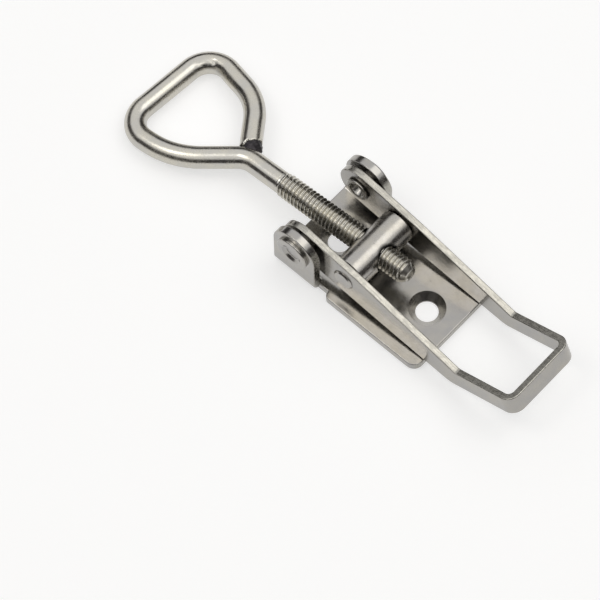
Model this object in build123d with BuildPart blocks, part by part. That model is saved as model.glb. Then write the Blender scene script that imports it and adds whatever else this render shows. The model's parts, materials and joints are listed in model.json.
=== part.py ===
from build123d import *

import math
import os

# Over centre toggle latch: a stamped base with two ears, a folded lever, a cross barrel and a
# threaded rod that ends in a welded wire loop. Millimetres.
# The origin is the middle of the screw hole pattern, on the underside of the base. +X points to the
# finger end of the lever, the hook reaches out to -X, and +Z is away from the mounting surface.

# Clearances
RUNNING = 0.05
EAR_GAP = 0.75
SIDE_PLAY = 0.15
FLARE_PLAY = 0.1

# Lever, folded from one strip; its outline is drawn from the rivet axis
LEVER_WIDTH = 19.5
LEVER_SHEET = 1.65
NOSE_RADIUS = 5.3
TOP_FALL = 9.3
SHOULDER_X = 16.0
SHOULDER_RADIUS = 60.0
KINK_X = 42.8
KINK_DROP = 3.8
KINK_RADIUS = 1.0
BOTTOM_FALL = 7.0
BELLY_BACK = 3.2
BELLY_RADIUS = 5.0
TAIL_RISE = 23.7
TAIL_HEIGHT = 4.6
TAIL_LENGTH = 16.2
TAIL_CORNER = 2.9
LEVER_EDGE = 0.25

# Base plate, with an ear outside each arm of the lever
BASE_SHEET = 2.0
BASE_LENGTH = 40.2
BASE_WIDTH = LEVER_WIDTH + 2 * (EAR_GAP + BASE_SHEET)
BASE_CORNER = 2.3
BEND_RADIUS = 2.8
NOTCH_LENGTH = 2.8
NOTCH_DEPTH = 1.45
NOTCH_CORNER = 0.3
STRIP_CORNER = 1.1
SCREW_SPACING = 25.0
SCREW_HOLE_RADIUS = 2.5
COUNTERSINK_RADIUS = 4.1
BASE_EDGE = 0.25

# Ears, bent up from the base, with the rivet axis at their middle
EAR_RADIUS = 5.8
PIVOT_HEIGHT = 11.0
PIVOT_X = EAR_RADIUS - BASE_LENGTH / 2

# Rivets, one through each ear, tubular and flared at the inner end
RIVET_RADIUS = 2.5
RIVET_HEAD_RADIUS = 4.1
RIVET_HEAD = 0.8
RIVET_HEAD_EDGE = 0.3
RIVET_DIMPLE_RADIUS = 2.0
RIVET_DIMPLE = 0.3
RIVET_FLARE_RADIUS = 2.95
RIVET_FLARE = 0.6
RIVET_BORE_RADIUS = 1.8
RIVET_WALL = 1.4

# Barrel that carries the rod, from the rivet axis
BARREL_AHEAD = 11.7
BARREL_DROP = 1.4
BARREL_RADIUS = 4.0
BARREL_PIN_RADIUS = 2.5
BARREL_PIN_PROUD = 0.4
BARREL_EDGE = 0.3
BORE_COUNTERSINK = 0.6

# Rod and loop, drawn in the rod's own plane: distance ahead of the barrel axis, then across.
# The loop's corners are where its straight runs would meet.
ROD_FALL = 6.4
WIRE_RADIUS = 2.5
THREAD_RADIUS = 2.8
THREAD_END = 26.6
THREAD_RUNOUT = 0.25
THREAD_PITCH = 1.0
THREAD_DEPTH = 0.56
THREAD_CREST = 0.125
ROD_TIP = 10.2
TIP_CHAMFER = 1.0
LOOP_CORNERS = [(36.9, 0), (49.5, -10.2), (64.0, -11.1), (62.0, 15.7), (45.2, 12.1)]
LOOP_RADII = [6.2, 20.0, 5.7, 5.9, 13.2]
LOOP_END = (39.4, 4.2)
WELD_RADIUS = 2.25
WELD_DEPTH = 5.0

# Two faces touch within this distance, and meet smoothly within this angle
TOUCH = 1e-4
SEAM_ANGLE = 10

EAR_FACE = BASE_WIDTH / 2
EAR_INSIDE = EAR_FACE - BASE_SHEET
ARM_FACE = LEVER_WIDTH / 2
ARM_INSIDE = ARM_FACE - LEVER_SHEET
BEND_START = EAR_FACE - BEND_RADIUS
BARREL_X = PIVOT_X + BARREL_AHEAD
BARREL_Z = PIVOT_HEIGHT - BARREL_DROP
FALL = math.radians(ROD_FALL)
RISE = math.radians(TAIL_RISE)


def side_plane(y):
    """The plane across the latch at y, with its origin on the rivet axis, x to the tail and y up."""
    return Plane(origin=(PIVOT_X, y, PIVOT_HEIGHT), x_dir=(1, 0, 0), z_dir=(0, -1, 0))


def rod_section(ahead, side=1):
    """The plane square to the rod, this far ahead of the barrel axis, facing the hook or, at side -1, the tip."""
    origin = rod_plane.from_local_coords(Vector(ahead, 0, 0))
    return Plane(origin=origin, x_dir=(0, 1, 0), z_dir=rod_plane.x_dir * side)


def outline_edges(part):
    """The edges where a sheet's faces meet at an angle, apart from the closed rims of its holes."""
    outline = ShapeList()
    for edge in part.edges().filter_by(lambda e: not e.is_closed):
        middle = edge @ 0.5
        sides = [face.normal_at(middle) for face in part.faces() if face.distance_to(middle) < TOUCH]
        if len(sides) == 2 and sides[0].get_angle(sides[1]) > SEAM_ANGLE:
            outline.append(edge)
    return outline


rod_plane = Plane(
    origin=(BARREL_X, 0, BARREL_Z),
    x_dir=(-math.cos(FALL), 0, -math.sin(FALL)),
    z_dir=(math.sin(FALL), 0, -math.cos(FALL)),
)

# The lever's tail leaves the kink along one slope, and its strip stands square to that slope
tail_way = Vector(math.cos(RISE), math.sin(RISE))
tail_up = Vector(-math.sin(RISE), math.cos(RISE))
kink_top = Vector(KINK_X, -KINK_DROP)
tail_foot = kink_top - tail_up * TAIL_HEIGHT
belly = tail_foot - tail_way * BELLY_BACK
tail_plane = Plane(
    origin=(PIVOT_X + tail_foot.X, 0, PIVOT_HEIGHT + tail_foot.Y),
    x_dir=(tail_way.X, 0, tail_way.Y),
    z_dir=(tail_up.X, 0, tail_up.Y),
)

# Ear: the bend and the upright, from the line where the bend leaves the floor
with BuildPart() as ear:
    ear_rear = PIVOT_X + EAR_RADIUS
    bend_plane = Plane(origin=(ear_rear, BEND_START, BEND_RADIUS), x_dir=(0, 1, 0), z_dir=(1, 0, 0))
    with BuildSketch(bend_plane):
        Circle(BEND_RADIUS)
        Circle(BEND_RADIUS - BASE_SHEET, mode=Mode.SUBTRACT)
        Rectangle(BEND_RADIUS, BEND_RADIUS, align=(Align.MIN, Align.MAX), mode=Mode.INTERSECT)
    extrude(amount=-2 * EAR_RADIUS)
    with BuildSketch(side_plane(EAR_FACE)):
        Circle(EAR_RADIUS)
        Rectangle(2 * EAR_RADIUS, PIVOT_HEIGHT - BEND_RADIUS, align=(Align.CENTER, Align.MAX))
        Circle(RIVET_RADIUS, mode=Mode.SUBTRACT)
    extrude(amount=BASE_SHEET)
    fillet(outline_edges(ear.part).filter_by(lambda e: (e @ 0.5).Y > BEND_START + TOUCH), BASE_EDGE)

# Base plate: the floor, an ear on each side, and the screw holes
with BuildPart() as base_plate:
    strip_front = ear_rear + NOTCH_LENGTH
    strip_length = BASE_LENGTH / 2 - strip_front
    notch_half = EAR_FACE - NOTCH_DEPTH
    with BuildSketch() as floor:
        Rectangle(BASE_LENGTH, 2 * BEND_START)
        with Locations((ear_rear, 0)):
            Rectangle(BASE_LENGTH / 2 - ear_rear, 2 * notch_half, align=(Align.MIN, Align.CENTER))
        with Locations((strip_front, 0)):
            Rectangle(strip_length, BASE_WIDTH, align=(Align.MIN, Align.CENTER))
        fillet(floor.vertices().group_by(Axis.X)[-1], BASE_CORNER)
        for half_width, radius in ((BASE_WIDTH / 2, STRIP_CORNER), (notch_half, NOTCH_CORNER)):
            steps = floor.vertices().filter_by_position(Axis.X, strip_front - TOUCH, strip_front + TOUCH)
            fillet(steps.filter_by(lambda v: abs(abs(v.Y) - half_width) < TOUCH), radius)
    extrude(amount=BASE_SHEET)
    free_edges = outline_edges(base_plate.part).filter_by(lambda e: abs((e @ 0.5).X - ear_rear) > TOUCH)
    free_edges = free_edges.filter_by(lambda e: abs(abs((e @ 0.5).Y) - BEND_START) > TOUCH)
    fillet(free_edges, BASE_EDGE)
    add(ear.part)
    mirror(ear.part, about=Plane.XZ)
    with Locations(Plane.XY.offset(BASE_SHEET)):
        with GridLocations(SCREW_SPACING, 1, 2, 1):
            CounterSinkHole(SCREW_HOLE_RADIUS, COUNTERSINK_RADIUS, depth=BASE_SHEET, counter_sink_angle=90)
base_plate.part.label = "base_plate"

# Lever: two flat arms and the U of the tail, one folded strip
with BuildPart() as handle:
    top_way = Vector(1, 0).rotate(Axis.Z, -TOP_FALL)
    bottom_way = Vector(1, 0).rotate(Axis.Z, -BOTTOM_FALL)
    leave_top = Vector(0, NOSE_RADIUS).rotate(Axis.Z, -TOP_FALL)
    leave_bottom = Vector(0, -NOSE_RADIUS).rotate(Axis.Z, -BOTTOM_FALL)
    shoulder = leave_top + top_way * ((SHOULDER_X - leave_top.X) / top_way.X)
    lap_top = kink_top + tail_way * TAIL_LENGTH / 2
    lap_foot = tail_foot + tail_way * TAIL_LENGTH / 2
    corner_radii = ((shoulder, SHOULDER_RADIUS), (kink_top, KINK_RADIUS), (belly, BELLY_RADIUS))
    for face in (ARM_FACE, -ARM_INSIDE):
        with BuildSketch(side_plane(face)) as arm:
            with BuildLine():
                ThreePointArc(leave_bottom, (-NOSE_RADIUS, 0), leave_top)
                Polyline(leave_top, shoulder, kink_top, lap_top, lap_foot, belly)
                TangentArc(leave_bottom, belly, tangent=bottom_way)
            make_face()
            for corner, radius in corner_radii:
                fillet(arm.vertices().sort_by_distance(corner)[0], radius)
            Circle(RIVET_RADIUS + RUNNING, mode=Mode.SUBTRACT)
            with Locations((BARREL_AHEAD, -BARREL_DROP)):
                Circle(BARREL_PIN_RADIUS + RUNNING, mode=Mode.SUBTRACT)
        extrude(amount=LEVER_SHEET)
    with BuildSketch(tail_plane) as tail:
        with Locations((TAIL_LENGTH / 2, 0)):
            Rectangle(TAIL_LENGTH, LEVER_WIDTH)
        fillet(tail.vertices().group_by(Axis.X)[-1], TAIL_CORNER)
        with Locations((-LEVER_SHEET, 0)):
            RectangleRounded(2 * TAIL_LENGTH, 2 * ARM_INSIDE, TAIL_CORNER - LEVER_SHEET, mode=Mode.SUBTRACT)
    extrude(amount=TAIL_HEIGHT)
    fillet(outline_edges(handle.part), LEVER_EDGE)
handle.part.label = "handle"

# Barrel: a turned cross pin with the threaded hole through its middle
with BuildPart() as barrel:
    barrel_middle = Plane(origin=(BARREL_X, 0, BARREL_Z), x_dir=(1, 0, 0), z_dir=(0, 1, 0))
    with BuildSketch(barrel_middle):
        Circle(BARREL_RADIUS)
    extrude(amount=ARM_INSIDE - SIDE_PLAY, both=True)
    with BuildSketch(barrel_middle):
        Circle(BARREL_PIN_RADIUS)
    extrude(amount=ARM_FACE + BARREL_PIN_PROUD, both=True)
    rims = barrel.faces().filter_by(Axis.Y).edges().filter_by(lambda e: e.radius > BARREL_PIN_RADIUS)
    tips = barrel.faces().sort_by(Axis.Y)[0].edges() + barrel.faces().sort_by(Axis.Y)[-1].edges()
    chamfer(rims + tips, BARREL_EDGE)
    bore_radius = THREAD_RADIUS + RUNNING
    for side in (1, -1):
        with Locations(rod_section(side * BARREL_RADIUS, side)):
            CounterSinkHole(bore_radius, bore_radius + BORE_COUNTERSINK, counter_sink_angle=90)
barrel.part.label = "barrel"

# Hook: the threaded rod runs on as plain wire round the loop, and a weld closes it. The thread's
# grooves are level rings, one to each pitch.
with BuildPart() as hook_rod:
    thread_length = ROD_TIP + THREAD_END
    groove_half = (THREAD_PITCH - THREAD_CREST) / 2
    groove_rise = RUNNING * groove_half / THREAD_DEPTH
    groove = [(groove_half + groove_rise, RUNNING), (-groove_half - groove_rise, RUNNING), (0, -THREAD_DEPTH)]
    with BuildSketch(rod_plane) as half_rod:
        with Locations((-ROD_TIP, 0)):
            Rectangle(thread_length, THREAD_RADIUS, align=(Align.MIN, Align.MIN))
        for end, size in ((-ROD_TIP, TIP_CHAMFER), (THREAD_END, THREAD_RUNOUT)):
            chamfer(half_rod.vertices().sort_by_distance((end, THREAD_RADIUS))[0], size)
        with Locations((thread_length / 2 - ROD_TIP, THREAD_RADIUS)):
            with GridLocations(THREAD_PITCH, 1, int(thread_length / THREAD_PITCH), 1):
                Polygon(*groove, align=None, mode=Mode.SUBTRACT)
    revolve(axis=Axis(rod_plane.origin, rod_plane.x_dir))
    far_side = tuple(sum(pair) / 2 for pair in zip(*LOOP_CORNERS[2:4]))
    wire_out = [(THREAD_END - WIRE_RADIUS, 0), *LOOP_CORNERS[:3], far_side]
    wire_back = [far_side, *LOOP_CORNERS[3:], LOOP_END]
    for run, radii in ((wire_out, LOOP_RADII[:3]), (wire_back, LOOP_RADII[3:])):
        with BuildLine(rod_plane) as way:
            FilletPolyline(*run, radius=radii)
        with BuildSketch(Plane(origin=way.line @ 0, z_dir=way.line % 0)):
            Circle(WIRE_RADIUS)
        sweep(path=way.line)
    with BuildSketch(Plane(origin=way.line @ 1, z_dir=way.line % 1)):
        Circle(WELD_RADIUS)
    extrude(amount=WELD_DEPTH)
hook_rod.part.label = "hook_rod"

os.makedirs("parts", exist_ok=True)

# Rivets: the head stands on the ear's outer face, the flare keeps the arm on
for side, name in ((-1, "rivet_near"), (1, "rivet_far")):
    rivet_plane = Plane(origin=(PIVOT_X, 0, PIVOT_HEIGHT), x_dir=(0, side, 0), z_dir=(-side, 0, 0))
    flare_face = ARM_INSIDE - FLARE_PLAY
    head_face = EAR_FACE + RIVET_HEAD
    bore_end = head_face - RIVET_DIMPLE - RIVET_WALL
    with BuildPart() as rivet:
        with BuildSketch(rivet_plane) as half:
            with BuildLine():
                Polyline(
                    (bore_end, 0),
                    (bore_end, RIVET_BORE_RADIUS),
                    (flare_face - RIVET_FLARE, RIVET_BORE_RADIUS),
                    (flare_face - RIVET_FLARE, RIVET_FLARE_RADIUS),
                    (flare_face, RIVET_FLARE_RADIUS),
                    (flare_face, RIVET_RADIUS),
                    (EAR_FACE, RIVET_RADIUS),
                    (EAR_FACE, RIVET_HEAD_RADIUS),
                    (head_face, RIVET_HEAD_RADIUS),
                    (head_face, RIVET_DIMPLE_RADIUS),
                    (head_face - RIVET_DIMPLE, RIVET_DIMPLE_RADIUS - RIVET_DIMPLE),
                    (head_face - RIVET_DIMPLE, 0),
                    close=True,
                )
            make_face()
            fillet(half.vertices().sort_by(lambda v: v.X + v.Y)[-1], RIVET_HEAD_EDGE)
        revolve(axis=Axis((PIVOT_X, 0, PIVOT_HEIGHT), (0, 1, 0)))
    rivet.part.label = name
    export_step(rivet.part, f"parts/{name}.step")

export_step(base_plate.part, "parts/base_plate.step")
export_step(handle.part, "parts/handle.step")
export_step(barrel.part, "parts/barrel.step")
export_step(hook_rod.part, "parts/hook_rod.step")
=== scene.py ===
"""Looks of the over centre toggle latch: finishes for its sheet parts, and its turned, threaded, bent and welded
pieces as meshes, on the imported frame. Metres, in the frame's own axes: +X to the finger end, +Z up."""

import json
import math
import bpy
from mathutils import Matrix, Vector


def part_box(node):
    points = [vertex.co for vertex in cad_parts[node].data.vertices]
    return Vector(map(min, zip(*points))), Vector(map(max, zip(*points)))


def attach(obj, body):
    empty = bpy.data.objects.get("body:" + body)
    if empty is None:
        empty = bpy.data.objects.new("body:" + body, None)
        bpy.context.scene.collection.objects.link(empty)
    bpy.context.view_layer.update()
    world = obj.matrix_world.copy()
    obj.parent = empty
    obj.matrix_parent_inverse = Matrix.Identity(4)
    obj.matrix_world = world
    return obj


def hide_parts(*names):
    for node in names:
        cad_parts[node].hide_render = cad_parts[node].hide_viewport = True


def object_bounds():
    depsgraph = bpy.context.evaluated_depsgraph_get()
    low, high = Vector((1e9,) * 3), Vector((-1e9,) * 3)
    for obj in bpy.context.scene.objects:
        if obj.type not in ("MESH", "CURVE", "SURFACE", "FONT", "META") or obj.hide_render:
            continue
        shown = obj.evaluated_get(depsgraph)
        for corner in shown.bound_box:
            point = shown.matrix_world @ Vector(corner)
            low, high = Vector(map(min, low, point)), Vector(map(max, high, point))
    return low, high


bl_info = {
    "name": "Over centre toggle latch",
    "version": (1, 0, 0),
    "blender": (4, 5, 0),
    "location": "3D View > Sidebar > Latch",
    "description": "Builds the visible pieces of the toggle latch on its packed frame",
    "category": "Object",
}

import bpy
import numpy as np
from bpy.props import FloatProperty, FloatVectorProperty, IntProperty, PointerProperty
from mathutils import Matrix, Vector

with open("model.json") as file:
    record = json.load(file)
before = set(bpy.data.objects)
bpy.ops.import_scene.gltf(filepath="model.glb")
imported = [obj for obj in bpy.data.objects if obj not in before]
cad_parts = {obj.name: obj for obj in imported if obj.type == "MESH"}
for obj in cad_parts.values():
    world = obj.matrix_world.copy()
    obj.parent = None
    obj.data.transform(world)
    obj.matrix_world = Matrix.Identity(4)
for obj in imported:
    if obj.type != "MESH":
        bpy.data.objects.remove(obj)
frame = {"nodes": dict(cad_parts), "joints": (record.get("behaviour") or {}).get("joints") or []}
CAD_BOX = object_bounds()

MM = 0.001


def joint(name):
    """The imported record's joint of that name."""
    return next(entry for entry in frame["joints"] if entry["name"] == name)


# Places read from the frame
PIVOT = np.array(joint("handle_pivot")["pos_m"], float)
BARREL_CENTRE = np.array(joint("barrel_pivot")["pos_m"], float)
ROD_BACK = np.array(joint("hook_adjust")["axis"], float)
ROD_AHEAD = -ROD_BACK / np.linalg.norm(ROD_BACK)
ACROSS = np.array((0.0, 1.0, 0.0))
ROD_UP = np.cross(ACROSS, ROD_AHEAD)

# The wire loop in the rod's plane, ahead of the barrel axis and across: where its straight runs would meet
LOOP_CORNERS = ((36.9, 0.0), (49.5, -10.2), (64.0, -11.1), (62.0, 15.7), (45.2, 12.1))
LOOP_RADII = (6.2, 20.0, 5.7, 5.9, 13.2)
LOOP_END = (37.75, 1.95)

# The rivet's profile in mm, as radius and depth below its head's face: the sunk middle, then the head
RIVET_MIDDLE = ((0.02, 0.6), (1.9, 0.6), (2.6, 0.0))
RIVET_HEAD = ((4.1, 0.0), (4.1, 0.8), (2.5, 0.8))
SHANK_RADIUS = 2.5
FLARE_RADIUS = 2.95
FLARE_LENGTH = 0.6
BORE_RADIUS = 1.8
BORE_END = 2.0
# What rounds each corner of that profile in turn, and the spacing of its points
RIVET_ROUNDS = (0.25, 0.3, 0.3, 0.04, 0.06, 0.1, 0.3, 0.25, 0.3)
RIVET_STEP = 0.05

# Marks of the bending tool on the wire: place along it, angle round it, depth, length and spread of each
BEND_MARKS = ((63.6, 1.05, 0.17, 0.9, 0.28), (65.4, 0.45, 0.25, 2.2, 0.45))

# Steel: noises per metre of the clouds, the mottle, the fine grain and the drawn lines, and how far the skin waves
# and the grain stands
CLOUDS = 230.0
MOTTLE = 1100.0
FINE = 3600.0
DRAWN = 3400.0
WAVE_HEIGHT = 0.045 * MM
GRAIN_HEIGHT = 0.02 * MM
SHEET_GRAIN = 0.3
SHEARED_ROUGHNESS = 0.26

# Points round the floor and the flags
STAGE_SIDES = 96


class LatchSizes(bpy.types.PropertyGroup):
    """Sizes of the pieces that are drawn here."""

    thread_pitch: FloatProperty(
        name="Thread pitch", description="Distance between two crests", default=1.0 * MM, unit="LENGTH"
    )
    thread_crest: FloatProperty(
        name="Thread crest", description="Radius over the crests", default=2.8 * MM, unit="LENGTH"
    )
    thread_root: FloatProperty(
        name="Thread root", description="Radius at the bottom of the thread", default=2.24 * MM, unit="LENGTH"
    )
    thread_end: FloatProperty(
        name="Thread end",
        description="Where the thread stops, ahead of the barrel axis",
        default=26.6 * MM,
        unit="LENGTH",
    )
    thread_start: FloatProperty(
        name="Rod tip",
        description="Where the rod's free end is, ahead of the barrel axis",
        default=-10.2 * MM,
        unit="LENGTH",
    )
    tip_chamfer: FloatProperty(
        name="Tip chamfer", description="Cone at the rod's free end", default=1.3 * MM, unit="LENGTH"
    )
    wire_radius: FloatProperty(
        name="Wire radius", description="Radius of the loop's wire", default=2.5 * MM, unit="LENGTH"
    )
    weld_neck: FloatProperty(
        name="Weld neck", description="Radius of the weld at its waist", default=2.2 * MM, unit="LENGTH"
    )
    around: IntProperty(name="Sides", description="Faces round a rod, wire or pin", default=96, min=24)


class LatchFinish(bpy.types.PropertyGroup):
    """Colours and polish of the stainless pieces."""

    sheet_colour: FloatVectorProperty(
        name="Sheet", description="Rolled and tumbled sheet", default=(0.385, 0.372, 0.352), subtype="COLOR"
    )
    edge_colour: FloatVectorProperty(
        name="Sheared edge", description="Edge that the press tool left", default=(0.44, 0.425, 0.385), subtype="COLOR"
    )
    turned_colour: FloatVectorProperty(
        name="Barrel", description="Turned bar", default=(0.43, 0.412, 0.385), subtype="COLOR"
    )
    wire_colour: FloatVectorProperty(
        name="Wire", description="Drawn and polished wire", default=(0.54, 0.52, 0.475), subtype="COLOR"
    )
    weld_colour: FloatVectorProperty(
        name="Weld", description="Heat-darkened weld metal", default=(0.05, 0.046, 0.05), subtype="COLOR"
    )
    sheet_roughness: FloatProperty(
        name="Sheet roughness", description="Blur of the sheet's reflections", default=0.2, subtype="FACTOR"
    )
    wire_roughness: FloatProperty(
        name="Wire roughness", description="Blur of the wire's reflections", default=0.23, subtype="FACTOR"
    )


class StageSettings(bpy.types.PropertyGroup):
    """Where the picture is taken from, and its lamps."""

    azimuth: FloatProperty(
        name="Azimuth", description="Turn of the view about Z", default=math.radians(43.485), unit="ROTATION"
    )
    elevation: FloatProperty(
        name="Elevation",
        description="Height of the view over the horizon",
        default=math.radians(63.055),
        unit="ROTATION",
    )
    roll: FloatProperty(name="Roll", description="Tilt of the picture", default=math.radians(1.365), unit="ROTATION")
    distance: FloatProperty(
        name="Distance", description="From the lens to the aim", default=710.582 * MM, unit="LENGTH"
    )
    aim: FloatVectorProperty(
        name="Aim",
        description="Point at the picture's middle",
        default=(-7.743 * MM, -17.715 * MM, 5.0 * MM),
        unit="LENGTH",
    )
    lens: FloatProperty(name="Lens", description="Focal length in millimetres", default=201.98)


def settings(name):
    """The scene's settings group of that name."""
    return getattr(bpy.context.scene, name)


def place_in_scene(name, data):
    """A new object with that data, linked to the scene."""
    made = bpy.data.objects.new(name, data)
    bpy.context.scene.collection.objects.link(made)
    return made


# Mesh helpers


def turns(count):
    """Evenly spaced angles once round."""
    return np.linspace(0, 2 * math.pi, count, endpoint=False)


def grid_faces(rows, columns):
    """Quads between neighbouring rows of a grid whose columns close on themselves."""
    row = np.arange(rows - 1)[:, None] * columns
    column = np.arange(columns)[None, :]
    following = (column + 1) % columns
    corners = (row + column, row + columns + column, row + columns + following, row + following)
    return np.stack(corners, -1).reshape(-1, 4)


def closed_tube(rings):
    """Vertices and faces of a closed skin through rings of points, shaped (rows, columns, 3).

    A fan closes each end."""
    rows, columns = rings.shape[:2]
    points = np.concatenate((rings.reshape(-1, 3), rings[0].mean(0)[None], rings[-1].mean(0)[None]))
    column = np.arange(columns)
    following = (column + 1) % columns
    first = np.stack((np.full(columns, rows * columns), column, following), -1)
    last_row = (rows - 1) * columns
    last = np.stack((np.full(columns, rows * columns + 1), last_row + following, last_row + column), -1)
    return points, grid_faces(rows, columns).tolist() + first.tolist() + last.tolist()


def add_piece(name, points, faces, body, material):
    """A smooth mesh piece in the row frame, riding on a body."""
    mesh = bpy.data.meshes.new(name)
    mesh.from_pydata(points.tolist(), [], faces)
    mesh.update()
    mesh.shade_smooth()
    mesh.materials.append(material)
    piece = place_in_scene(name, mesh)
    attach(piece, body)
    return piece


def rod_point(ahead, across, up):
    """Row-frame points from distances ahead of the barrel axis, across and square to the rod's plane."""
    ahead, across, up = np.broadcast_arrays(ahead, across, up)
    return (
        BARREL_CENTRE
        + ahead[..., None] * ROD_AHEAD
        + across[..., None] * ACROSS
        + up[..., None] * ROD_UP
    )


def rounded_path(corners, radii, step):
    """Evenly spaced points and directions along straight runs joined by tangent arcs, in a plane.

    At a corner whose directions turn by an angle, the arc starts and ends radius times the tangent of half that
    angle before and after it, and its centre lies the radius to the inner side of the arc's start."""
    corners = np.array(corners, float)
    way = np.diff(corners, axis=0)
    way /= np.linalg.norm(way, axis=1)[:, None]
    stretches = [corners[:1]]
    for corner, before, after, radius in zip(corners[1:-1], way[:-1], way[1:], radii):
        turn = math.atan2(before[0] * after[1] - before[1] * after[0], float(before @ after))
        start = corner - before * radius * math.tan(abs(turn) / 2)
        inward = math.copysign(1, turn) * np.array((-before[1], before[0]))
        angle = np.linspace(0, abs(turn), 2 + int(radius * abs(turn) / step))[:, None]
        stretches.append(start + radius * (np.sin(angle) * before + (1 - np.cos(angle)) * inward))
    stretches.append(corners[-1:])
    points = np.concatenate(stretches)
    length = np.concatenate(((0,), np.cumsum(np.linalg.norm(np.diff(points, axis=0), axis=1))))
    even = np.linspace(0, length[-1], 1 + int(length[-1] / step))
    line = np.stack([np.interp(even, length, points[:, axis]) for axis in (0, 1)], -1)
    direction = np.gradient(line, axis=0)
    return line, direction / np.linalg.norm(direction, axis=1)[:, None], even


# Materials


def node_maker(tree):
    """A function that adds a node to the tree with its values, and sets or joins its inputs."""

    def node(kind, inputs=(), **values):
        made = tree.nodes.new(kind)
        for key, value in values.items():
            setattr(made, key, value)
        for socket, value in dict(inputs).items():
            if isinstance(value, bpy.types.NodeSocket):
                tree.links.new(value, made.inputs[socket])
            else:
                made.inputs[socket].default_value = value
        return made

    return node


def new_material(name):
    """A node material, its tree, its shader and a function that adds nodes to it."""
    material = bpy.data.materials.new(name)
    material.use_nodes = True
    tree = material.node_tree
    return material, tree, tree.nodes["Principled BSDF"], node_maker(tree)


def reckon(node, operation, first, second=0.0, clamped=False):
    """The result of a Math node."""
    return node("ShaderNodeMath", {0: first, 1: second}, operation=operation, use_clamp=clamped).outputs[0]


def ramp(node, factor, low, high, start=0.0, end=1.0):
    """A number that runs from start to end while the factor runs from low to high."""
    return node(
        "ShaderNodeMapRange",
        {"Value": factor, "From Min": low, "From Max": high, "To Min": start, "To Max": end},
    ).outputs["Result"]


def shown(node):
    """1 for camera, glossy and transmission rays, which show what they meet, and 0 for those that only light it."""
    path = node("ShaderNodeLightPath").outputs
    seen = reckon(node, "ADD", path["Is Camera Ray"], path["Is Glossy Ray"])
    return reckon(node, "ADD", seen, path["Is Transmission Ray"], clamped=True)


def finished(node_name, material):
    """Give a CAD node its material."""
    slots = frame["nodes"][node_name].data.materials
    slots.clear()
    slots.append(material)


def stainless(name, colour, roughness, grain, streak=(1.0, 1.0, 1.0), edge=None, bore=None):
    """Polished stainless steel: warm and cool clouds in the colour, a slightly wavy skin, fine grain, drawn lines and
    a few small pits.

    streak scales the Object coordinates of the drawn lines, small along the way they run. edge is the axis that the
    sheared edges face, with their colour and roughness: there the lines are deeper and the tone is patchy. bore is
    a hole's centre and direction, with the distances from its axis between which a painted shade, near black round
    the hole, fades out; it stands in for the shade inside the hole."""
    material, tree, shader, node = new_material(name)
    place = node("ShaderNodeTexCoord")
    spot = place.outputs["Object"]

    def noise(scale, detail, rough, at=spot):
        values = {"Vector": at, "Scale": scale, "Detail": detail, "Roughness": rough}
        return node("ShaderNodeTexNoise", values).outputs["Fac"]

    def mixed(factor, first, second, kind="RGBA"):
        values = {"Factor": factor, "A": first, "B": second}
        return node("ShaderNodeMix", values, data_type=kind).outputs["Result"]

    def vector(operation, result, *inputs):
        return node("ShaderNodeVectorMath", dict(enumerate(inputs)), operation=operation).outputs[result]

    clouds = noise(CLOUDS, 3.0, 0.55)
    mottle = noise(MOTTLE, 5.0, 0.65)
    fine = noise(FINE, 3.0, 0.6)
    drawn_place = node("ShaderNodeMapping", {"Vector": spot, "Scale": streak})
    drawn = noise(DRAWN, 3.0, 0.6, drawn_place.outputs["Vector"])
    red, green, blue = colour
    cool = (red * 0.93, green * 0.94, blue * 0.97, 1.0)
    warm = (red * 1.07, green * 1.06, blue * 1.02, 1.0)
    tone = mixed(ramp(node, clouds, 0.32, 0.68), cool, warm)
    polish = ramp(node, reckon(node, "ADD", mottle, clouds), 0.75, 1.25, roughness * 0.75, roughness * 1.35)
    height = mixed(0.55, fine, drawn, "FLOAT")
    if edge:
        axis, edge_colour, edge_roughness = edge
        facing = node("ShaderNodeSeparateXYZ", {"Vector": place.outputs["Normal"]}).outputs[axis]
        mask = ramp(node, reckon(node, "ABSOLUTE", facing), 0.6, 0.8)
        dark = tuple(part * 0.72 for part in edge_colour)
        patchy = mixed(ramp(node, drawn, 0.36, 0.6), (*dark, 1.0), (*edge_colour, 1.0))
        tone = mixed(mask, tone, patchy)
        worn = ramp(node, mottle, 0.35, 0.65, edge_roughness * 0.7, edge_roughness * 1.4)
        polish = mixed(mask, polish, worn, "FLOAT")
        height = mixed(mask, height, reckon(node, "MULTIPLY", drawn, 3.0), "FLOAT")
    pits = ramp(node, mottle, 0.705, 0.74)
    tone = mixed(pits, tone, (red * 0.3, green * 0.29, blue * 0.28, 1.0))
    # Painted shade: close to a hole's axis the tone fades to near black, standing in for the shade inside the hole
    if bore:
        centre, along, rim, clear = bore
        away = vector("SUBTRACT", "Vector", spot, centre)
        away = vector("LENGTH", "Value", vector("CROSS_PRODUCT", "Vector", away, along))
        tone = mixed(ramp(node, away, rim, clear), (red * 0.06, green * 0.06, blue * 0.06, 1.0), tone)
    sunk = reckon(node, "SUBTRACT", height, pits)
    wave = node("ShaderNodeBump", {"Height": clouds, "Strength": 1.0, "Distance": WAVE_HEIGHT})
    bump = node(
        "ShaderNodeBump",
        {"Height": sunk, "Strength": grain, "Distance": GRAIN_HEIGHT, "Normal": wave.outputs["Normal"]},
    )
    shader.inputs["Metallic"].default_value = 1.0
    tree.links.new(tone, shader.inputs["Base Color"])
    tree.links.new(polish, shader.inputs["Roughness"])
    tree.links.new(bump.outputs["Normal"], shader.inputs["Normal"])
    return material


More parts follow.
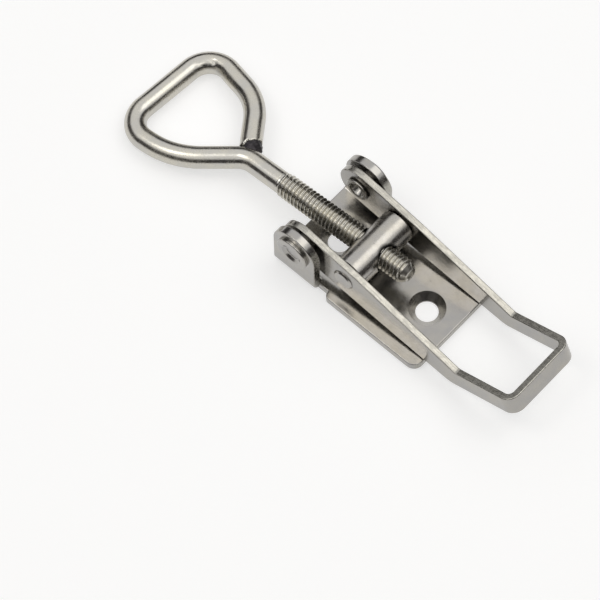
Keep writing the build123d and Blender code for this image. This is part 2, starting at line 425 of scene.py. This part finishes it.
class LATCH_OT_sheet_parts(bpy.types.Operator):
    """Give the stamped base and the folded lever their finish"""

    bl_idname = "latch.sheet_parts"
    bl_label = "Sheet parts"

    def execute(self, context):
        finish = settings("latch_finish")
        for node_name, material_name, streak, edge_axis in (
            ("base_plate", "base_sheet", (1.0, 1.0, 0.2), "X"),
            ("handle", "lever_sheet", (0.1, 1.0, 0.3), "Z"),
        ):
            edge = (edge_axis, tuple(finish.edge_colour), SHEARED_ROUGHNESS)
            finished(
                node_name,
                stainless(material_name, finish.sheet_colour, finish.sheet_roughness, SHEET_GRAIN, streak, edge),
            )
        return {"FINISHED"}


class LATCH_OT_rivets(bpy.types.Operator):
    """Turn the two ear rivets: a headed pin with a sunk middle, flared over the arm from inside"""

    bl_idname = "latch.rivets"
    bl_label = "Rivets"

    def execute(self, context):
        finish = settings("latch_finish")
        steel = stainless("rivet_steel", finish.sheet_colour, finish.sheet_roughness, 0.12)
        for node_name, inward in (("rivet_near", 1), ("rivet_far", -1)):
            piece = self.turned(node_name, inward, steel)
            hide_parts(node_name)
        return {"FINISHED"}

    def turned(self, node_name, inward, steel):
        """A profile of radius and depth below the head's face, with its corners rounded, turned about the pivot."""
        low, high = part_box(node_name)
        length = (high[1] - low[1]) / MM
        shank = ((SHANK_RADIUS, length - FLARE_LENGTH), (FLARE_RADIUS, length - FLARE_LENGTH))
        bore = ((FLARE_RADIUS, length), (BORE_RADIUS, length), (BORE_RADIUS, BORE_END), (0.02, BORE_END))
        line = rounded_path((*RIVET_MIDDLE, *RIVET_HEAD, *shank, *bore), RIVET_ROUNDS, RIVET_STEP)[0]
        turn = turns(settings("latch_sizes").around)
        face = low[1] if inward > 0 else high[1]
        depth = np.broadcast_to(face + inward * line[:, 1:] * MM, (len(line), turn.size))
        radius = line[:, :1] * MM
        around = inward * turn
        rings = np.stack((PIVOT[0] + radius * np.cos(around), depth, PIVOT[2] + radius * np.sin(around)), -1)
        points, faces = closed_tube(rings)
        return add_piece(node_name + "_turned", points, faces, "base", steel)


class LATCH_OT_barrel(bpy.types.Operator):
    """Give the turned cross barrel its finish, with painted shade round the rod's hole"""

    bl_idname = "latch.barrel"
    bl_label = "Barrel"

    def execute(self, context):
        finish = settings("latch_finish")
        # Painted shade round the rod's hole: near black within 3.05 mm of the rod's axis, faded out by 3.5 mm
        bore = (tuple(BARREL_CENTRE), tuple(ROD_AHEAD), 3.05 * MM, 3.5 * MM)
        steel = stainless("turned_steel", finish.turned_colour, 0.25, 0.3, (0.1, 1.0, 0.1), bore=bore)
        finished("barrel", steel)
        return {"FINISHED"}


class LATCH_OT_hook(bpy.types.Operator):
    """Build the hook: the threaded rod, the bent wire loop and the weld that closes it"""

    bl_idname = "latch.hook"
    bl_label = "Hook"

    def execute(self, context):
        sizes = settings("latch_sizes")
        finish = settings("latch_finish")
        steel = stainless("wire", finish.wire_colour, finish.wire_roughness, 0.2)
        dark = stainless("weld", finish.weld_colour, 0.42, 1.0)
        thread = self.thread(sizes, steel)
        self.wire(sizes, steel)
        self.weld(sizes, dark)
        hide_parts("hook_rod")
        return {"FINISHED"}

    def thread(self, sizes, steel):
        """The rod's radius at a distance along it and an angle round it.

        It is a 60 degree ridge whose phase is the distance over the pitch plus the turn, flat on top for an eighth of
        the pitch and round at its foot. A 45 degree cone cuts it at the tip, through a soft minimum of the two radii,
        and it fades into the plain wire over the last pitch and a half. It is tucked a little way into the wire."""
        pitch = sizes.thread_pitch
        runout = 1.5 * pitch
        tuck = 0.4 * MM
        soft = 0.06 * MM
        flank_start, flank_end = 0.18, 0.875
        foot = 0.3
        ahead = np.arange(sizes.thread_start, sizes.thread_end + tuck, pitch / 14)[:, None]
        turn = turns(sizes.around)
        phase = (ahead / pitch + turn / (2 * math.pi)) % 1
        ridge = np.abs(2 * phase - 1)
        lift = np.clip((ridge - flank_start) / (flank_end - flank_start), 0, 1)
        lift = np.where(lift < foot, lift**2 / (2 * foot) + foot / 2 * (lift / foot), lift)
        radius = sizes.thread_root + (sizes.thread_crest - sizes.thread_root) * lift
        fade = np.clip((ahead - sizes.thread_end + runout) / runout, 0, 1)
        fade = fade * fade * (3 - 2 * fade)
        radius = radius + (sizes.wire_radius - radius) * fade
        cone = sizes.thread_crest - sizes.tip_chamfer + (ahead - sizes.thread_start)
        radius = -soft * np.log(np.exp(-radius / soft) + np.exp(-cone / soft))
        radius = np.where(ahead > sizes.thread_end, sizes.wire_radius - 0.05 * MM, radius)
        rings = rod_point(ahead, radius * np.cos(turn), radius * np.sin(turn))
        middle = rings[:1].mean(1, keepdims=True)
        inner = middle + (rings[:1] - middle) * 0.5
        points, faces = closed_tube(np.concatenate((inner, rings)))
        return add_piece("hook_thread", points, faces, "hook", steel)

    def wire(self, sizes, steel):
        """A circle of the wire's radius carried along the loop's rounded path, square to it.

        The end under the weld is a slanted cut with two waves round it, and its rim is rounded by a quarter circle."""
        corners = [(sizes.thread_end / MM, 0.0), *LOOP_CORNERS, LOOP_END]
        line, direction, even = rounded_path(corners, LOOP_RADII, 0.2)
        line = line * MM
        turn = turns(sizes.around)
        side = np.stack((-direction[:, 1], direction[:, 0]), -1)
        radius = self.dented(np.full((len(line), 1), sizes.wire_radius), even[:, None] * MM, turn)
        to_end = (even[-1] - even)[:, None] * MM
        cut = (0.75 - 0.85 * np.cos(turn) + 0.14 * np.sin(5 * turn + 1.0) + 0.1 * np.sin(9 * turn + 2.2)) * MM
        rim = 0.3 * MM
        near_end = np.clip(1 - (to_end - cut) / rim, 0, 1)
        radius = radius - rim * (1 - np.sqrt(1 - near_end**2))
        radius = np.where(to_end < cut, sizes.wire_radius * 0.7, radius)
        across = radius * np.cos(turn)
        rings = rod_point(
            line[:, :1] + across * side[:, :1], line[:, 1:] + across * side[:, 1:], radius * np.sin(turn)
        )
        points, faces = closed_tube(rings)
        return add_piece("hook_loop", points, faces, "hook", steel)

    def dented(self, radius, along, turn):
        """The wire's radius less the marks that bending left, which die away as a bell curve along and round it."""
        for place, angle, depth, length, spread in BEND_MARKS:
            round_it = (turn - angle + math.pi) % (2 * math.pi) - math.pi
            bell = np.exp(-(((along / MM - place) / length) ** 2) - (round_it / spread) ** 2)
            radius = radius - depth * MM * bell
        return radius

    def weld(self, sizes, dark):
        """A lump from inside the wire's end to inside the rod.

        Its radius is the waist plus a bulge on the side that looks away from the loop, raised by waves of different
        counts, and it narrows to its ends as a low power of a sine."""
        length = 4.0
        sunk = 2.4
        start = np.array(LOOP_END, float) * MM
        before = np.array(LOOP_CORNERS[-1], float) * MM
        way = (start - before) / np.linalg.norm(start - before)
        side = np.array((-way[1], way[0]))
        along = np.linspace(0, 1, 70)[:, None]
        turn = turns(sizes.around)
        outer = np.clip(0.45 - 0.55 * np.cos(turn - 0.35), 0, 1)
        swell = np.sin(np.pi * along) ** 0.4
        waves = (
            0.09 * np.sin(3 * turn + 7 * along)
            + 0.06 * np.sin(5 * turn - 13 * along + 1.3)
            + 0.04 * np.sin(11 * turn + 23 * along + 0.4)
        ) * MM
        radius = (sizes.weld_neck - 0.15 * MM + 0.55 * MM * outer + waves) * (0.6 + 0.4 * swell)
        place = start + way * (along * length - sunk) * MM
        across = radius * np.cos(turn)
        rings = rod_point(place[:, :1] + across * side[0], place[:, 1:] + across * side[1], radius * np.sin(turn))
        points, faces = closed_tube(rings)
        return add_piece("hook_weld", points, faces, "hook", dark)


class LATCH_OT_stage(bpy.types.Operator):
    """Set the floor, the soft lamps and the camera"""

    bl_idname = "latch.stage"
    bl_label = "Stage"

    def execute(self, context):
        self.floor()
        self.surroundings()
        self.lamps()
        self.flags()
        self.camera(settings("latch_stage"))
        context.scene.view_settings.view_transform = "Standard"
        return {"FINISHED"}

    def floor(self):
        """A round plain floor under the part."""
        bottom = CAD_BOX[0][2]
        turn = turns(STAGE_SIDES)
        reach = 1.4
        points = np.stack((reach * np.cos(turn), reach * np.sin(turn), np.full(STAGE_SIDES, bottom)), -1)
        mesh = bpy.data.meshes.new("floor")
        mesh.from_pydata(points.tolist(), [], [list(range(STAGE_SIDES))])
        floor = place_in_scene("floor", mesh)
        material, tree, shader, node = new_material("floor_white")
        tree.nodes.remove(shader)
        paint = node("ShaderNodeBsdfDiffuse", {"Color": (0.62, 0.62, 0.62, 1.0)})
        glow = node("ShaderNodeEmission", {"Strength": reckon(node, "MULTIPLY", shown(node), 0.52)})
        both = node("ShaderNodeAddShader", {0: paint.outputs[0], 1: glow.outputs[0]})
        tree.links.new(both.outputs[0], tree.nodes["Material Output"].inputs["Surface"])
        mesh.materials.append(material)

    def surroundings(self):
        """A plain white room, at full strength for what shows it and softer as a light."""
        world = bpy.data.worlds.new("studio")
        world.use_nodes = True
        bpy.context.scene.world = world
        tree = world.node_tree
        node = node_maker(tree)
        level = ramp(node, shown(node), 0.0, 1.0, 0.75, 1.0)
        background = tree.nodes["Background"]
        background.inputs["Color"].default_value = (1.0, 1.0, 1.0, 1.0)
        tree.links.new(level, background.inputs["Strength"])

    def lamps(self):
        """Three soft boxes above the part."""
        for name, place, side, strength, colour in (
            ("box_back", (0.23, 0.32, 0.84), 0.50, 1.15, (1.0, 0.975, 0.91)),
            ("box_front", (0.44, -0.24, 0.98), 0.46, 0.9, (1.0, 0.975, 0.91)),
            ("box_left", (-0.31, -0.33, 0.89), 0.34, 2.4, (1.0, 0.97, 0.90)),
        ):
            lamp = bpy.data.lights.new(name, "AREA")
            lamp.shape = "SQUARE"
            lamp.size = side
            lamp.energy = strength * math.pi * side * side
            lamp.color = colour
            box = place_in_scene(name, lamp)
            box.location = place
            box.rotation_euler = Vector(place).to_track_quat("Z", "Y").to_euler()

    def flags(self):
        """Dark cloth all round, out of the picture, which gives the steel its dark lines. Its height is a mean plus
        a swing times the cosine of the turn from the camera's side, and it thins out towards its top edge."""
        turn = turns(STAGE_SIDES)
        toward_camera = settings("latch_stage").azimuth - math.pi / 2
        height = 1.12 + 0.2 * np.cos(turn - toward_camera)
        reach = 1.5
        rows = 13
        share = np.linspace(0, 1, rows)[:, None]
        wall = np.stack(np.broadcast_arrays(reach * np.cos(turn), reach * np.sin(turn), share * height), -1)
        mesh = bpy.data.meshes.new("flags")
        mesh.from_pydata(wall.reshape(-1, 3).tolist(), [], grid_faces(rows, STAGE_SIDES).tolist())
        shares = mesh.attributes.new("share", "FLOAT", "POINT")
        shares.data.foreach_set("value", np.broadcast_to(share, wall.shape[:2]).ravel())
        flags = place_in_scene("flags", mesh)
        material, tree, shader, node = new_material("dark_cloth")
        shader.inputs["Base Color"].default_value = (0.12, 0.112, 0.11, 1.0)
        shader.inputs["Roughness"].default_value = 0.9
        shader.inputs["Specular IOR Level"].default_value = 0.1
        fade = ramp(node, node("ShaderNodeAttribute", attribute_name="share").outputs["Fac"], 0.78, 1.0)
        clear = node("ShaderNodeBsdfTransparent")
        both = node("ShaderNodeMixShader", {0: fade, 1: shader.outputs[0], 2: clear.outputs[0]})
        tree.links.new(both.outputs[0], tree.nodes["Material Output"].inputs["Surface"])
        mesh.materials.append(material)
        flags.visible_camera = False
        self.card("black_card", Vector((0.47, -0.50, 0.70)), 1.0, 0.40, (0.01, 0.01, 0.01, 1.0))

    def card(self, name, way, distance, side, colour):
        """A square card that faces the part, below the camera."""
        place = way.normalized() * distance
        turned = Matrix.Translation(place) @ way.to_track_quat("Z", "Y").to_matrix().to_4x4()
        half = side / 2
        corners = [turned @ Vector((x * half, y * half, 0)) for x, y in ((-1, -1), (1, -1), (1, 1), (-1, 1))]
        mesh = bpy.data.meshes.new(name)
        mesh.from_pydata([tuple(corner) for corner in corners], [], [(0, 1, 2, 3)])
        card = place_in_scene(name, mesh)
        material, _, shader, _ = new_material(name)
        shader.inputs["Base Color"].default_value = colour
        shader.inputs["Roughness"].default_value = 0.9
        mesh.materials.append(material)
        card.visible_camera = False

    def camera(self, view):
        """Looks along the azimuth and elevation, turned by the roll, at the aim."""
        ahead = Vector((
            -math.sin(view.azimuth) * math.cos(view.elevation),
            math.cos(view.azimuth) * math.cos(view.elevation),
            -math.sin(view.elevation),
        ))
        right = Vector((math.cos(view.azimuth), math.sin(view.azimuth), 0))
        up = right.cross(ahead)
        rolled_right = math.cos(view.roll) * right - math.sin(view.roll) * up
        rolled_up = math.sin(view.roll) * right + math.cos(view.roll) * up
        lens = bpy.data.cameras.new("camera")
        lens.lens = view.lens
        lens.sensor_fit = "HORIZONTAL"
        lens.clip_start = 0.01
        lens.clip_end = 20.0
        camera = place_in_scene("camera", lens)
        turn = Matrix((rolled_right, rolled_up, -ahead)).transposed().to_4x4()
        camera.matrix_world = Matrix.Translation(Vector(view.aim) - ahead * view.distance) @ turn
        bpy.context.scene.camera = camera


class LATCH_PT_sidebar(bpy.types.Panel):
    """The pieces of the latch, each with its own button"""

    bl_idname = "LATCH_PT_sidebar"
    bl_label = "Toggle latch"
    bl_space_type = "VIEW_3D"
    bl_region_type = "UI"
    bl_category = "Latch"

    def draw(self, context):
        for operator in OPERATORS:
            self.layout.operator(operator.bl_idname)


OPERATORS = (
    LATCH_OT_sheet_parts,
    LATCH_OT_rivets,
    LATCH_OT_barrel,
    LATCH_OT_hook,
    LATCH_OT_stage,
)
GROUPS = {"latch_sizes": LatchSizes, "latch_finish": LatchFinish, "latch_stage": StageSettings}


def register():
    """Make the settings, operators and panel known."""
    for name, group in GROUPS.items():
        bpy.utils.register_class(group)
        setattr(bpy.types.Scene, name, PointerProperty(type=group))
    for kind in (*OPERATORS, LATCH_PT_sidebar):
        bpy.utils.register_class(kind)


def unregister():
    """Take them away again."""
    for kind in (LATCH_PT_sidebar, *reversed(OPERATORS)):
        bpy.utils.unregister_class(kind)
    for name, group in GROUPS.items():
        delattr(bpy.types.Scene, name)
        bpy.utils.unregister_class(group)


def main():
    """Build every piece and the stage."""
    register()
    bpy.ops.latch.sheet_parts()
    bpy.ops.latch.rivets()
    bpy.ops.latch.barrel()
    bpy.ops.latch.hook()
    bpy.ops.latch.stage()


if __name__ == "__main__":
    main()
